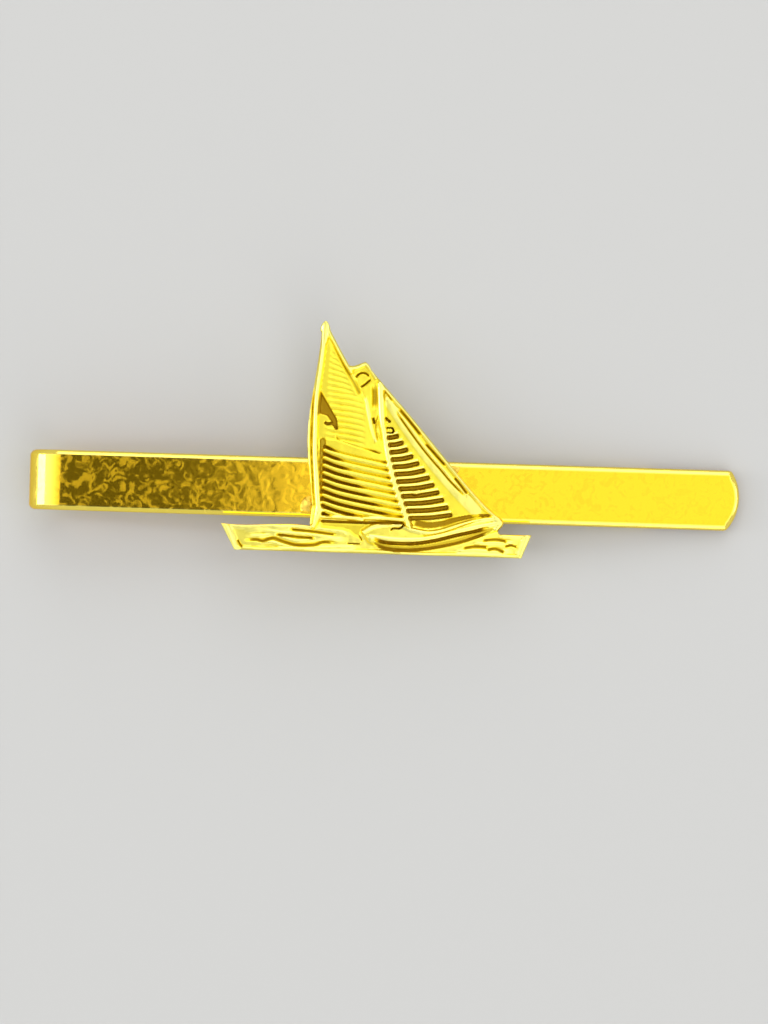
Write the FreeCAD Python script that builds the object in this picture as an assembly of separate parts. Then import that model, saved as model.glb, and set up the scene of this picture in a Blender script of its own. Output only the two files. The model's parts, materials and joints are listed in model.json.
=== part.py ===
"""Tie slide: a gilt brass strip folded into a spring clip, with a die-struck yacht soldered on its front.

The strip is one bevelled ribbon. It runs along the front, turns back through a round loop at the closed
end, and comes forward again behind the front as a springy leg that presses on the tie. The leg nearly
touches the front near its end and then kicks outward to lead the cloth in. The strip flexes in its loop,
so it is cut at the loop's crown into two solids: front_bar and spring_leg.

Front frame, used to build: X along the bar to its open end, Y to the masthead, Z out of the front face,
origin at the middle of that face. The whole part is then tipped by TILT, so that it lies on the loop and
the leg's tip as it does on a table, and its origin is the bottom centre of its box. Millimetres.
"""
import FreeCAD
import Part
import math
import os

from FreeCAD import Placement, Rotation, Vector

# Driving dimensions of the strip
BAR_LENGTH = 57.0
BAR_WIDTH = 4.8
THICK = 0.6
LOOP_RADIUS = 3.0            # outside of the round loop
BEVEL = 0.33                 # along every outer edge of the strip
END_UPPER_X = 0.7            # how far the upper end corner stands back from the end's crown
END_LOWER_X = 1.0            # the same for the lower corner: the end was cut slightly askew
END_CROWN_Y = 0.2
END_CORNER_R = 0.35
LEG_ANGLE = math.radians(6.6)    # how fast the leg closes on the front
KICK_ANGLE = math.radians(7.0)   # how far the leg's end then turns outward, measured from the front
KICK_RADIUS = 4.0            # of that turn, at mid-thickness
KICK_LENGTH = 4.2
FOOT_ANGLE = math.radians(38.0)  # the last turn, back towards the front, so that the foot glides on cloth
FOOT_RADIUS = 2.8            # of that turn, at mid-thickness
TIP_GAP = 0.12               # clear space between leg and front where they come closest
TIP_CORNER_R = 0.9

# Driving dimensions of the yacht. Its own drawing starts at the sea's lower left corner: u right, v up.
YACHT_X = -12.64
YACHT_Y = -5.09
SOLDER = 0.1
PLATE = 0.7                  # the struck blank under the relief
ROOT = 0.3                   # how deep a raised feature starts inside the blank
SAIL_RISE = 0.12
RIB_RISE = 0.3
SPAR_RISE = 0.5
EDGE_RISE = 0.38
SEA_RISE = 0.22
DECK_RISE = 0.45
HULL_RISE = 0.65

# Derived places, front frame
LOOP_X = -BAR_LENGTH / 2 + LOOP_RADIUS
MID_RADIUS = LOOP_RADIUS - THICK / 2
INNER_RADIUS = LOOP_RADIUS - THICK
HALF_WIDTH = BAR_WIDTH / 2
BAR_END = BAR_LENGTH / 2
EPS = 1e-4


# ---- Strip ----------------------------------------------------------------------------------------
def side(x, z):
    """A point of the side profile, which is drawn at the strip's lower edge."""
    return Vector(x, -HALF_WIDTH, z)


def line(a, b):
    return Part.LineSegment(a, b).toShape()


def arc(a, middle, b):
    return Part.Arc(a, middle, b).toShape()


def loop_point(radius, degrees):
    """A point at that radius about the loop's centre. 90 degrees is its top, 180 its crown."""
    a = math.radians(degrees)
    return side(LOOP_X + radius * math.cos(a), -LOOP_RADIUS + radius * math.sin(a))


def loop_arc(radius, first, last):
    return arc(loop_point(radius, first), loop_point(radius, (first + last) / 2), loop_point(radius, last))


def to_left(point, heading, distance):
    """The point at that distance to the left of point, for someone walking along heading."""
    return side(point.x - distance * math.sin(heading), point.z + distance * math.cos(heading))


def ahead(point, heading, distance):
    return side(point.x + distance * math.cos(heading), point.z + distance * math.sin(heading))


def leg_moves():
    """The leg's mid-thickness line from the loop's end: straight runs, and turns of (radius, angle)."""
    root_z = -LOOP_RADIUS - MID_RADIUS * math.cos(LEG_ANGLE)
    closest_z = -THICK - TIP_GAP - THICK / 2
    kick_rise = KICK_RADIUS * (1 - math.cos(LEG_ANGLE))
    straight = (closest_z - kick_rise - root_z) / math.sin(LEG_ANGLE)
    return [
        ("run", straight),
        ("turn", KICK_RADIUS, -LEG_ANGLE - KICK_ANGLE),
        ("run", KICK_LENGTH),
        ("turn", FOOT_RADIUS, FOOT_ANGLE),
    ]


def walk_leg(offset):
    """The leg's edges along one skin, and the centres of its turns.

    offset is the skin's distance to the left of the mid-thickness line: THICK / 2 on the tie's side, and
    minus that outside.
    """
    heading = LEG_ANGLE
    at = to_left(side(LOOP_X, -LOOP_RADIUS), heading, -MID_RADIUS)
    edges, centres = [], []
    for kind, *sizes in leg_moves():
        if kind == "run":
            there = ahead(at, heading, sizes[0])
            edges.append(line(to_left(at, heading, offset), to_left(there, heading, offset)))
            at = there
            continue
        radius, angle = sizes
        reach = math.copysign(radius, angle)
        centre = to_left(at, heading, reach)
        headings = [heading + angle * share for share in (0, 0.5, 1)]
        edges.append(arc(*(to_left(centre, h, offset - reach) for h in headings)))
        centres.append(centre)
        heading += angle
        at = to_left(centre, heading, -reach)
    return edges, centres


def across(outer, inner):
    """The solid between two skins, each a list of edges in order, across the strip's width."""
    ends = [
        line(outer[-1].valueAt(outer[-1].LastParameter), inner[-1].valueAt(inner[-1].LastParameter)),
        line(outer[0].valueAt(outer[0].FirstParameter), inner[0].valueAt(inner[0].FirstParameter)),
    ]
    profile = Part.Wire(Part.__sortEdges__(outer + inner + ends))
    return Part.Face(profile).extrude(Vector(0, BAR_WIDTH, 0))


def bevelled(solid, outer):
    """The solid with the rim of its outer skin bevelled. outer is that skin's edges in the side profile.

    Edges that cross the strip from side to side are the seams of its bends, and stay as they are.
    """
    rim = []
    for edge in solid.Edges:
        first, last = edge.ParameterRange
        samples = [edge.valueAt(first + (last - first) * k / 4) for k in range(5)]
        if abs(samples[4].y - samples[0].y) > BAR_WIDTH - EPS:
            continue
        spots = [Part.Vertex(side(p.x, p.z)) for p in samples]
        if all(min(e.distToShape(spot)[0] for e in outer) < EPS for spot in spots):
            rim.append(edge)
    return solid.makeChamfer(BEVEL, rim)


def end_prism():
    """The front's plan: straight sides and a shallow round end with small corners."""
    upper = Vector(BAR_END - END_UPPER_X, HALF_WIDTH, 0)
    lower = Vector(BAR_END - END_LOWER_X, -HALF_WIDTH, 0)
    far = -BAR_END - 1
    edges = [
        line(Vector(far, HALF_WIDTH, 0), upper),
        arc(upper, Vector(BAR_END, END_CROWN_Y, 0), lower),
        line(lower, Vector(far, -HALF_WIDTH, 0)),
        line(Vector(far, -HALF_WIDTH, 0), Vector(far, HALF_WIDTH, 0)),
    ]
    deep = 2 * LOOP_RADIUS + 2
    prism = Part.Face(Part.Wire(edges)).extrude(Vector(0, 0, deep))
    prism.translate(Vector(0, 0, 1 - deep))
    corners = [e for e in prism.Edges if e.Length > deep - EPS and e.Vertexes[0].X > 0]
    return prism.makeFillet(END_CORNER_R, corners)


def make_front_bar():
    outer = [
        loop_arc(LOOP_RADIUS, 180, 90),
        line(loop_point(LOOP_RADIUS, 90), side(BAR_END, 0)),
    ]
    inner = [
        loop_arc(INNER_RADIUS, 180, 90),
        line(loop_point(INNER_RADIUS, 90), side(BAR_END, -THICK)),
    ]
    return bevelled(across(outer, inner).common(end_prism()), outer)


def make_spring_leg():
    loop_end = 270 + math.degrees(LEG_ANGLE)
    outer = [loop_arc(LOOP_RADIUS, 180, loop_end)] + walk_leg(-THICK / 2)[0]
    inner = [loop_arc(INNER_RADIUS, 180, loop_end)] + walk_leg(THICK / 2)[0]
    solid = across(outer, inner)
    tip_x = min(e.valueAt(e.LastParameter).x for e in (outer[-1], inner[-1])) - EPS
    corners = [e for e in solid.Edges if min(v.X for v in e.Vertexes) > tip_x and e.Length < THICK + EPS]
    return bevelled(solid.makeFillet(TIP_CORNER_R, corners), outer)


# ---- Yacht ----------------------------------------------------------------------------------------
def mark(u, v, z=0.0):
    """A point of the yacht's drawing in the front frame. z is above the blank's back."""
    return Vector(YACHT_X + u, YACHT_Y + v, SOLDER + z)


def run(points):
    """One edge through drawing points: a line through two, a smooth curve through more."""
    if len(points) == 2:
        return line(mark(*points[0]), mark(*points[1]))
    curve = Part.BSplineCurve()
    curve.interpolate([mark(*p) for p in points])
    return curve.toShape()


def block(runs, rise):
    """A raised solid whose plan is bounded by runs, from inside the blank up to rise above it."""
    face = Part.Face(Part.Wire([run(points) for points in runs]))
    face.translate(Vector(0, 0, PLATE - ROOT))
    return face.extrude(Vector(0, 0, ROOT + rise))


def band(points, width, rise, end_width=None):
    """A raised ribbon along a smooth line through points, tapering from width to end_width."""
    end_width = width if end_width is None else end_width
    centre = run(points)
    first, last = centre.ParameterRange
    count = max(2, len(points))
    left, right = [], []
    for k in range(count):
        share = k / (count - 1)
        at = first + (last - first) * share
        p, along = centre.valueAt(at), centre.tangentAt(at)
        half = (width + (end_width - width) * share) / 2
        u, v = p.x - YACHT_X, p.y - YACHT_Y
        left.append((u - along.y * half, v + along.x * half))
        right.append((u + along.y * half, v - along.x * half))
    right.reverse()
    return block([left, [left[-1], right[0]], right, [right[-1], left[0]]], rise)


# The blank's outline, clockwise from the sea's lower left corner
SEA_LEFT = [(1.12, 0.0), (0.0, 2.06)]
SEA_TOP_LEFT = [(0.0, 2.06), (1.4, 1.98), (4.8, 2.14), (7.04, 2.06)]
LEECH_FOOT = [(7.04, 2.06), (7.06, 2.7), (7.16, 3.6)]
LEECH = [(7.16, 3.6), (6.9, 6.2), (6.64, 8.5), (6.8, 11.4), (7.2, 14.4), (7.5, 17.4)]
PEAK = [(7.5, 17.4), (7.58, 18.1), (7.82, 18.28), (8.04, 18.06), (8.16, 17.64)]
GAFF_EDGE = [(8.16, 17.64), (8.96, 16.2), (9.76, 14.86)]
NOTCH = [(9.76, 14.86), (10.16, 14.84), (10.64, 15.02), (11.04, 15.16)]
MASTHEAD = [(11.04, 15.16), (11.24, 15.02), (11.5, 14.56)]
FORESTAY = [(11.5, 14.56), (12.4, 13.56), (14.16, 11.64), (17.6, 7.7), (20.56, 4.4), (21.8, 3.28)]
BOW = [(21.8, 3.28), (22.28, 2.92), (22.34, 2.6), (21.96, 2.1), (22.1, 1.84)]
SEA_TOP_RIGHT = [(22.1, 1.84), (24.6, 1.84)]
SEA_RIGHT = [(24.6, 1.84), (23.84, 0.0)]
SEA_BOTTOM = [(23.84, 0.0), (1.12, 0.0)]
OUTLINE = [SEA_LEFT, SEA_TOP_LEFT, LEECH_FOOT, LEECH, PEAK, GAFF_EDGE, NOTCH, MASTHEAD, FORESTAY, BOW,
           SEA_TOP_RIGHT, SEA_RIGHT, SEA_BOTTOM]

# Lines that several raised features share
BOOM_V = 2.8
MAST = [(12.1, 13.1), (12.6, 11.4), (12.82, 9.8), (13.04, 8.2), (13.36, 6.6), (13.86, 5.2), (14.9, 2.3)]
LEECH_SPAR = [(7.8, 17.8), (7.5, 14.6), (7.24, 11.0), (7.2, 8.5), (7.42, 6.0), (7.66, 3.6), (7.45, 2.3)]
LUFF = [(12.75, 11.9), (14.4, 9.6), (16.4, 7.1), (18.4, 5.0), (20.1, 3.55)]


def u_at(points, v):
    """The u of a falling line of drawing points at height v."""
    for (u0, v0), (u1, v1) in zip(points, points[1:]):
        if v1 <= v <= v0:
            return u0 + (u1 - u0) * (v0 - v) / (v0 - v1)
    return points[-1][0]


def make_blank():
    face = Part.Face(Part.Wire([run(points) for points in OUTLINE]))
    return face.extrude(Vector(0, 0, PLATE))


def make_spars():
    return [
        band(LEECH_SPAR, 0.34, SPAR_RISE, 0.55),
        band([(8.05, 17.3), (8.75, 16.05), (9.5, 14.75), (10.3, 13.45), (11.0, 12.1)], 0.26, EDGE_RISE),
        band(MAST, 0.34, SPAR_RISE, 0.42),
        band([(8.0, BOOM_V), (14.5, BOOM_V)], 0.3, SPAR_RISE - 0.05),
    ]


def make_mainsail():
    """The sail's smooth body, with the ribs that fan out from the boom."""
    body = block([
        [(8.1, 16.6), (9.6, 13.8), (11.0, 11.6), (12.2, 8.6)],
        [(12.2, 8.6), (8.2, 8.9)],
        [(8.2, 8.9), (9.3, 9.6), (8.9, 10.9), (7.9, 12.8)],
        [(7.9, 12.8), (7.85, 14.8), (8.1, 16.6)],
    ], SAIL_RISE)
    ribs = []
    count, pitch_leech, pitch_mast = 9, 0.62, 0.56
    for k in range(count):
        start = (8.15, 8.15 - pitch_leech * k)
        stop_v = 7.6 - pitch_mast * k
        stop = (u_at(MAST, stop_v) - 0.1, stop_v)
        middle = (start[0] + 0.4 * (stop[0] - start[0]), start[1] + 0.72 * (stop[1] - start[1]) - 0.06)
        ribs.append(band([start, middle, stop], 0.34, RIB_RISE))
    return [body] + ribs


def make_jib():
    """The luff tape, the links along the forestay and the ribs between mast and luff."""
    count, pitch, top_v = 12, 0.656, 10.27
    parts = [
        band(LUFF, 0.5, EDGE_RISE, 0.75),
        band([(12.2, 13.35), (14.1, 11.35), (17.4, 7.6), (20.3, 4.35), (21.4, 3.35)], 0.26, EDGE_RISE),
        band([(13.75, 11.35), (14.9, 9.85), (15.8, 8.85)], 0.3, RIB_RISE),
        band([(16.0, 8.5), (17.1, 7.25), (17.95, 6.5)], 0.3, RIB_RISE),
        band([(18.4, 6.05), (19.1, 5.3), (19.8, 4.6)], 0.22, RIB_RISE),
    ]
    for k in range(count):
        v = top_v - pitch * k
        start = u_at(MAST, v)
        lift = 0.17 * (u_at(LUFF, v) - start)
        stop = (u_at(LUFF, v + lift), v + lift)
        middle = ((start + stop[0]) / 2, v + 0.35 * lift)
        parts.append(band([(start, v), middle, stop], 0.26, RIB_RISE))
    return parts


def make_hull():
    deck = block([
        [(11.2, 1.9), (12.2, 2.35), (13.6, 2.48), (15.2, 2.1), (16.8, 2.05), (18.6, 2.55), (21.0, 3.12)],
        [(21.0, 3.12), (21.9, 3.05), (22.15, 2.7), (21.9, 2.5)],
        [(21.9, 2.5), (19.6, 2.15), (17.4, 1.6), (15.0, 1.2), (12.6, 1.3), (11.2, 1.9)],
    ], DECK_RISE)
    wale = band([(12.0, 1.16), (13.6, 0.66), (15.6, 0.62), (17.6, 0.98), (19.6, 1.55), (21.5, 2.3)], 0.24, DECK_RISE)
    rail = band([(12.6, 1.45), (15.0, 1.35), (17.4, 1.72), (19.6, 2.3), (21.6, 2.72)], 0.2, HULL_RISE)
    cabin = block([
        [(13.2, 1.7), (13.4, 2.1), (14.3, 2.15)],
        [(14.3, 2.15), (14.5, 1.7)],
        [(14.5, 1.7), (13.2, 1.7)],
    ], HULL_RISE)
    return [deck, wale, rail, cabin]


def make_sea():
    """Crests of the waves, and the turned lips at both ends of the sea."""
    crests = [
        ([(1.6, 1.62), (3.6, 1.72), (6.6, 1.66), (9.6, 1.42)], 0.26),
        ([(2.2, 1.1), (4.6, 1.2), (7.4, 1.0), (10.2, 1.06)], 0.24),
        ([(1.7, 0.4), (3.6, 0.52), (6.2, 0.28), (9.4, 0.42), (11.0, 0.3)], 0.26),
        ([(18.8, 0.34), (20.8, 0.52), (23.2, 0.34)], 0.26),
        ([(20.6, 1.05), (22.0, 1.15), (23.8, 0.95)], 0.24),
        ([(22.2, 1.5), (23.2, 1.58), (24.2, 1.5)], 0.2),
    ]
    lips = [
        band([(1.36, 0.2), (0.42, 1.88)], 0.36, SEA_RISE),
        band([(23.72, 0.2), (24.32, 1.66)], 0.24, SEA_RISE),
    ]
    return [band(points, width, SEA_RISE) for points, width in crests] + lips


def make_masthead():
    """The halyard block: a disc with a groove left round it, on the masthead's shoulder."""
    disc = Part.makeCylinder(0.4, ROOT + RIB_RISE, mark(10.9, 13.85, PLATE - ROOT))
    shoulder = band([(9.95, 14.55), (10.6, 14.72), (11.2, 14.6), (11.85, 13.75)], 0.26, EDGE_RISE)
    return [disc, shoulder]


def make_yacht():
    raised = make_spars() + make_mainsail() + make_jib() + make_hull() + make_sea() + make_masthead()
    return make_blank().multiFuse(raised).removeSplitter()


# ---- Solder ---------------------------------------------------------------------------------------
def solder_blob(u, v, radius_u, radius_v, height):
    """A low mound on the bar's face, an ellipsoid whose lower half is cut off later."""
    scale = FreeCAD.Matrix()
    scale.scale(radius_u, radius_v, height)
    blob = Part.makeSphere(1.0).transformGeometry(scale)
    blob.translate(Vector(YACHT_X + u, YACHT_Y + v, 0))
    return blob


def make_solder():
    """The solder between bar and blank, with the two fillets that ran out beside the yacht."""
    shadow = make_blank()
    shadow.translate(Vector(0, 0, -SOLDER))
    flat = Part.makeBox(BAR_LENGTH, BAR_WIDTH - 2 * BEVEL, SOLDER, Vector(LOOP_X, BEVEL - HALF_WIDTH, 0))
    layer = shadow.common(flat)
    above = Part.makeBox(BAR_LENGTH, BAR_WIDTH - 2 * BEVEL, 2, Vector(LOOP_X, BEVEL - HALF_WIDTH, 0))
    tall = Part.Face(Part.Wire([run(points) for points in OUTLINE])).extrude(Vector(0, 0, 2))
    tall.translate(Vector(0, 0, -SOLDER))
    mounds = [solder_blob(6.95, 3.5, 0.75, 0.95, 0.42), solder_blob(18.2, 7.0, 0.6, 0.55, 0.4)]
    fillets = [mound.common(above).cut(tall) for mound in mounds]
    return layer.multiFuse(fillets).removeSplitter()


# ---- Placing and writing --------------------------------------------------------------------------
def tilt():
    """The angle that brings the undersides of the loop and of the foot, two round bends, level."""
    foot = walk_leg(0)[1][-1]
    dx, dz = foot.x - LOOP_X, foot.z + LOOP_RADIUS
    drop = LOOP_RADIUS - (FOOT_RADIUS + THICK / 2)
    return math.atan2(dz, dx) + math.asin(drop / math.hypot(dx, dz))


def lie_down(solids):
    """Tips the part about Y and brings the bottom centre of its box to the origin."""
    turned = Placement(Vector(0, 0, 0), Rotation(Vector(0, 1, 0), math.degrees(tilt())))
    for solid in solids.values():
        solid.transformShape(turned.toMatrix())
    box = Part.makeCompound(list(solids.values())).optimalBoundingBox(False)
    shift = Vector(-(box.XMin + box.XMax) / 2, -(box.YMin + box.YMax) / 2, -box.ZMin)
    for solid in solids.values():
        solid.translate(shift)
    return Placement(shift, turned.Rotation)


def main():
    os.makedirs("parts", exist_ok=True)
    solids = {
        "front_bar": make_front_bar(),
        "spring_leg": make_spring_leg(),
        "yacht_emblem": make_yacht(),
        "solder_joint": make_solder(),
    }
    placement = lie_down(solids)
    for name, shape in solids.items():
        print(name, "solids", len(shape.Solids), "valid", shape.isValid(), "mm3", round(shape.Volume, 2))
        shape.exportStep(f"parts/{name}.step")
    leg_run = walk_leg(-THICK / 2)[0][0]
    places = {
        "loop crown": Vector(LOOP_X - LOOP_RADIUS, 0, -LOOP_RADIUS),
        "loop centre": Vector(LOOP_X, 0, -LOOP_RADIUS),
        "leg face": leg_run.CenterOfMass + Vector(0, HALF_WIDTH, 0),
    }
    for name, place in places.items():
        print(name, [round(c, 4) for c in placement.multVec(place)])
    print("front tilt", round(math.degrees(tilt()), 4), "leg tilt", round(math.degrees(LEG_ANGLE - tilt()), 4))


main()
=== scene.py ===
"""Looks for the tie slide: a gilt strip bent from one blank, a die-struck yacht in relief, and its solder.

Shapes are drawn in millimetres in the front frame (X along the bar to its open end, Y to the masthead,
Z out of the front face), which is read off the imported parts, and are then placed in the row frame in metres.
"""

import json
import math

import bpy
import numpy as np
from mathutils import Matrix, Vector, geometry, noise


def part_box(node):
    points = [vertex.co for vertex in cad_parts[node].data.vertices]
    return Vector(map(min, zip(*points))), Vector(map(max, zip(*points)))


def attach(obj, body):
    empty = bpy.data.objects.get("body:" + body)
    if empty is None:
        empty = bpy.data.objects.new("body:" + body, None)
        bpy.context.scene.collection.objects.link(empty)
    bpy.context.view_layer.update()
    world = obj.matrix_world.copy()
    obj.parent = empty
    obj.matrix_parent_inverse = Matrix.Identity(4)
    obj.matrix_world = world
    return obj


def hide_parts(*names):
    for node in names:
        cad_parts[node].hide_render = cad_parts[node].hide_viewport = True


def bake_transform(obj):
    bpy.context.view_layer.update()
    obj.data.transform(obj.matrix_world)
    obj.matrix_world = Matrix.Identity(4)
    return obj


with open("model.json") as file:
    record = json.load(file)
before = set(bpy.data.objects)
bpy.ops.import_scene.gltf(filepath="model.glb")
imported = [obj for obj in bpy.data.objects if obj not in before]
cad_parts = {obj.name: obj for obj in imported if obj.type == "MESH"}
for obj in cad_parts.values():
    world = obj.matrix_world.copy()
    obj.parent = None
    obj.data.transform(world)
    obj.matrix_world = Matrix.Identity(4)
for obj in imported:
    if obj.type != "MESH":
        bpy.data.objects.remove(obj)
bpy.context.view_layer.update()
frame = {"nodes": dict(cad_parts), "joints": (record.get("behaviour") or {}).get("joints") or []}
MM = 0.001
FACING = 0.9                 # the least cosine to a direction at which a facet counts as facing it
FLAT = 0.01                  # how far points of one flat face may lie out of line, in millimetres


# ---- The front frame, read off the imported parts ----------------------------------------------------
def corners(node):
    """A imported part's vertices, in row frame metres."""
    return np.array([v.co for v in frame["nodes"][node].data.vertices], float)


def widest_face(node, direction):
    """(outward normal, a point) of the node's largest flat facet that faces direction."""
    polygons = frame["nodes"][node].data.polygons
    facing = [p for p in polygons if p.normal.dot(direction) > FACING]
    largest = max(facing, key=lambda p: p.area)
    return largest.normal.normalized(), largest.center


UP = Vector((0, 0, 1))
FRONT_NORMAL, FRONT_POINT = widest_face("front_bar", UP)
LEG_NORMAL = widest_face("spring_leg", -UP)[0]
CROWN = Vector(frame["joints"][0]["pos_m"])
AXIS_X = Vector((FRONT_NORMAL.z, 0, -FRONT_NORMAL.x))
AXIS_Y = Vector((0, 1, 0))

BAR_LENGTH = (max(corners("front_bar") @ np.array(AXIS_X)) - AXIS_X.dot(CROWN)) / MM
BAR_WIDTH = (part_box("front_bar")[1].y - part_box("front_bar")[0].y) / MM
LOOP_RADIUS = FRONT_NORMAL.dot(FRONT_POINT - CROWN) / MM
LEG_ANGLE = math.acos(min(1, -LEG_NORMAL.dot(FRONT_NORMAL)))
ORIGIN = CROWN + AXIS_X * (BAR_LENGTH / 2 * MM) + FRONT_NORMAL * (LOOP_RADIUS * MM)


def in_front_frame(points):
    """Row frame points, in metres, as front frame millimetres."""
    axes = np.array([AXIS_X, AXIS_Y, FRONT_NORMAL])
    return (np.asarray(points, float) - np.array(ORIGIN)) @ axes.T / MM


def in_row_frame(points):
    """Front frame points as row frame ones, in metres."""
    axes = np.array([AXIS_X, AXIS_Y, FRONT_NORMAL])
    return np.asarray(points, float) @ axes * MM + np.array(ORIGIN)


BAR_POINTS = in_front_frame(corners("front_bar"))
YACHT_POINTS = in_front_frame(corners("yacht_emblem"))
SOLDER_POINTS = in_front_frame(corners("solder_joint"))
OPEN_END_POINTS = BAR_POINTS[BAR_POINTS[:, 0] > BAR_LENGTH / 2 - 5]    # those of its last 5 mm
THICK = -OPEN_END_POINTS[:, 2].min()
YACHT_CORNER = YACHT_POINTS[:, :2].min(axis=0)
YACHT_BACK = YACHT_POINTS[:, 2].min()


def make_piece(name, points, faces, body, stands_for=(), sharp=35):
    """A mesh piece from front frame points, smooth but for edges sharper than that many degrees."""
    mesh = bpy.data.meshes.new(name)
    mesh.from_pydata(in_row_frame(points).tolist(), [], faces)
    mesh.validate()
    mesh.shade_smooth()
    mesh.set_sharp_from_angle(angle=math.radians(sharp))
    piece = bpy.data.objects.new(name, mesh)
    bpy.context.scene.collection.objects.link(piece)
    if body:
        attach(piece, body)
    if stands_for:
        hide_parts(*stands_for)
    return piece


def set_tone(piece, tone):
    """Stores each point's tone (wear and dirt, with painted highlight and painted shade), for the material to
    read. Points beyond the given ones get 0.
    """
    attribute = piece.data.attributes.new("tone", "FLOAT", "POINT")
    full = np.zeros(len(piece.data.vertices), np.float32)
    full[:len(tone)] = tone
    attribute.data.foreach_set("value", full)


# ---- The strip's path ------------------------------------------------------------------------------
# The blank is drawn flat, with s along it from the open end, y across it and o out of its middle, and is
# then bent along this path of straight runs and (radius, angle) turns through the middle of its thickness.
KICK_ANGLE = math.radians(7.0)
KICK_RADIUS = 4.0
KICK_LENGTH = 4.2
FOOT_ANGLE = math.radians(38.0)
FOOT_RADIUS = 2.8
TIP_GAP = 0.12
MID_RADIUS = LOOP_RADIUS - THICK / 2
LEG_DROP = LOOP_RADIUS + MID_RADIUS * math.cos(LEG_ANGLE)
LEG_RISE = LEG_DROP - 1.5 * THICK - TIP_GAP - KICK_RADIUS * (1 - math.cos(LEG_ANGLE))
PATH = [
    ("run", BAR_LENGTH - LOOP_RADIUS),
    ("turn", MID_RADIUS, math.pi + LEG_ANGLE),
    ("run", LEG_RISE / math.sin(LEG_ANGLE)),
    ("turn", KICK_RADIUS, -LEG_ANGLE - KICK_ANGLE),
    ("run", KICK_LENGTH),
    ("turn", FOOT_RADIUS, FOOT_ANGLE),
]


def path_legs():
    """The path's stretches, each (start s, length, start x and z, heading, curvature), and its length."""
    s, x, z, heading = 0.0, BAR_LENGTH / 2, -THICK / 2, math.pi
    stretches = []
    for kind, *sizes in PATH:
        if kind == "run":
            length, bend = sizes[0], 0.0
        else:
            length, bend = sizes[0] * abs(sizes[1]), math.copysign(1 / sizes[0], sizes[1])
        stretches.append((s, length, x, z, heading, bend))
        x, z, heading = walk(x, z, heading, bend, length)
        s += length
    return stretches, s


def walk(x, z, heading, bend, distance):
    """Where a walker ends after a distance at constant curvature, and the heading there."""
    if bend == 0:
        return x + distance * np.cos(heading), z + distance * np.sin(heading), heading
    turned = heading + bend * distance
    return (
        x + (np.sin(turned) - np.sin(heading)) / bend,
        z - (np.cos(turned) - np.cos(heading)) / bend,
        turned,
    )


STRETCHES, BLANK_LENGTH = path_legs()


def bent(blank):
    """Blank coordinates (s, y, o) as front frame points."""
    blank = np.asarray(blank, float)
    starts = np.array([stretch[0] for stretch in STRETCHES])
    which = np.clip(np.searchsorted(starts, blank[:, 0], side="right") - 1, 0, None)
    points = np.zeros_like(blank)
    for k, (s0, _, x0, z0, heading0, bend) in enumerate(STRETCHES):
        here = which == k
        x, z, heading = walk(x0, z0, heading0, bend, blank[here, 0] - s0)
        out = blank[here, 2]
        points[here, 0] = x + out * np.sin(heading)
        points[here, 1] = blank[here, 1]
        points[here, 2] = z - out * np.cos(heading)
    return points


# ---- The strip's blank -----------------------------------------------------------------------------
BEVEL = 0.33                 # how wide and how deep the bevel along the outer face is
BEVEL_TURN = math.radians(20)    # how far the slightly round bevel turns to either side of 45 degrees
BEVEL_CUTS = 5               # points across the bevel
SHOULDER_DROP = 0.012        # how far the outer face falls before the bevel starts
EDGE_SOFT = 0.05             # about how far each edge is softened


def rim_section():
    """The rim from the outer face to the inner one: (inset from the outline, out of the middle)."""
    middle = math.pi / 4
    radius = BEVEL / (math.sin(middle + BEVEL_TURN) - math.sin(middle - BEVEL_TURN))
    section = [
        (BEVEL + 2.5 * EDGE_SOFT, THICK / 2),
        (BEVEL + 0.6 * EDGE_SOFT, THICK / 2 - SHOULDER_DROP / 4),
    ]
    for turn in np.linspace(middle - BEVEL_TURN, middle + BEVEL_TURN, BEVEL_CUTS + 1)[:-1]:
        inset = radius * (math.sin(middle + BEVEL_TURN) - math.sin(turn))
        drop = radius * (math.cos(middle - BEVEL_TURN) - math.cos(turn))
        section.append((inset, THICK / 2 - drop - SHOULDER_DROP))
    foot = -THICK / 2
    section += [
        (0.3 * EDGE_SOFT, foot + THICK - BEVEL - 0.1 * EDGE_SOFT),
        (0.0, foot + THICK - BEVEL - 1.2 * EDGE_SOFT),
        (0.0, foot + 2.0 * EDGE_SOFT),
        (0.35 * EDGE_SOFT, foot + 0.5 * EDGE_SOFT),
        (1.5 * EDGE_SOFT, foot),
    ]
    return section


RIM = rim_section()
BEVEL_LEVELS = BEVEL_CUTS + 3    # the first levels of the rim section, which are its bevel
ACROSS = 24                  # cells across the strip
END_BLEND = 3.0              # how far an end's outline bends the cells behind it
WAVE_FADE = 2.0              # how far from its ends a piece's outer face starts to be uneven
LONG_WAVE = 0.006            # heights of that unevenness
SHORT_WAVE = 0.0016
RUN_STEP = 0.5               # between stations where the strip is straight
TURN_STEP = 0.09             # and where it turns
LOOP_WEAR_HIGHLIGHT = 0.85             # how far the outside of the loop is painted pale, as wear and as a painted highlight
WEAR_HIGHLIGHT_IN = 1.3                # how far the path takes to reach that, and to leave it
WEAR_HIGHLIGHT_OUT = 3.0
TIP_CORNER_R = 0.9
SHARES = np.linspace(0, 1, ACROSS + 1)[:, None]


def resampled(line, count):
    """count + 1 points, evenly spaced along a line of points."""
    steps = np.linalg.norm(np.diff(line, axis=0), axis=1)
    at = np.concatenate([[0], np.cumsum(steps)])
    wanted = np.linspace(0, at[-1], count + 1)
    return np.column_stack([np.interp(wanted, at, line[:, k]) for k in range(2)])


def cut_end(s):
    """An end cut square: its points across the blank, and which way each one's rim is inset."""
    points = np.column_stack([np.full(ACROSS + 1, s), (2 * SHARES - 1) * BAR_WIDTH / 2])
    return points, points * [0, -2 / BAR_WIDTH]


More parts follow.
